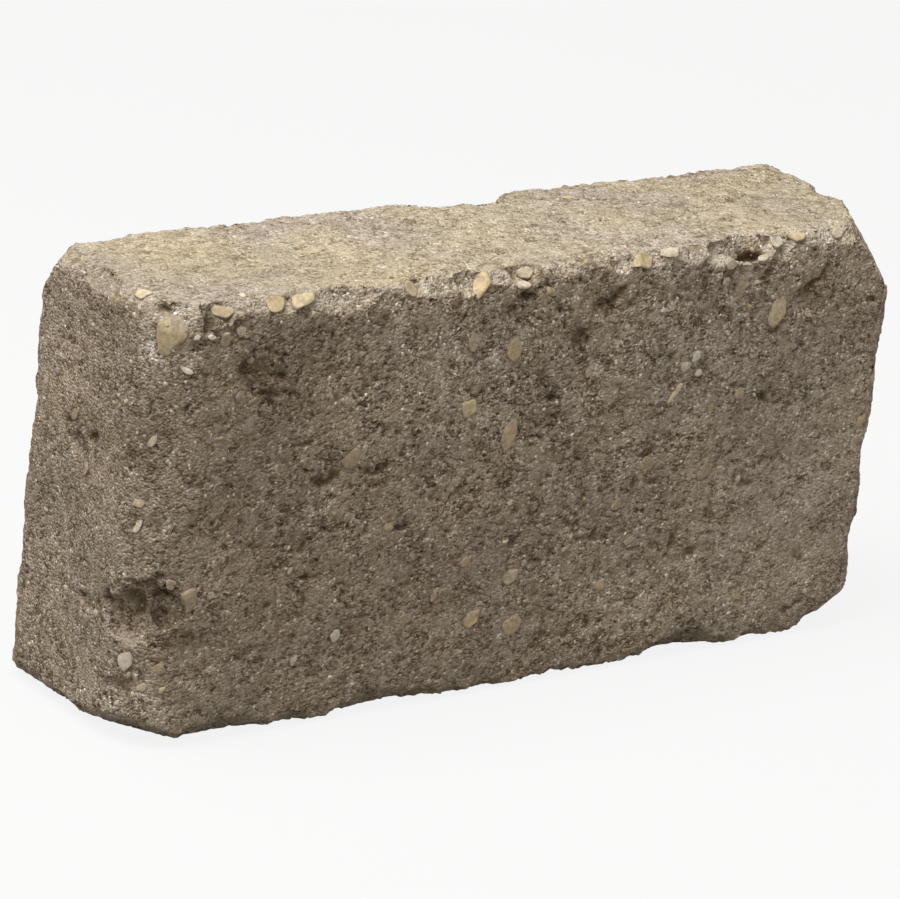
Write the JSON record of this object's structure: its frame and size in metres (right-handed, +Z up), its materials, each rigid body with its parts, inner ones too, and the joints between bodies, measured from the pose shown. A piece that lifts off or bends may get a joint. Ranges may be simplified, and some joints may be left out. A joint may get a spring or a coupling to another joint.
{
  "type": "garden wall block",
  "caption": "Tumbled rectangular concrete walling block with rounded, scalloped and broken edges, for stacking in low garden walls and bed edges.",
  "frame": {"origin": "centre of the block's bounding box in plan, at the level of its base", "axes": "+X along the length towards the end with the large broken corner, -Y towards the front face, +Z up as the block stands on its long narrow side"},
  "size_m": [0.305, 0.077, 0.15],
  "materials": {
    "concrete": "dry-pressed concrete worn by tumbling, buff-grey with small yellow, cream and grey stones, open pores and pale bruised edges"
  },
  "bodies": {
    "root": {"block": "concrete"}
  },
  "joints": []
}
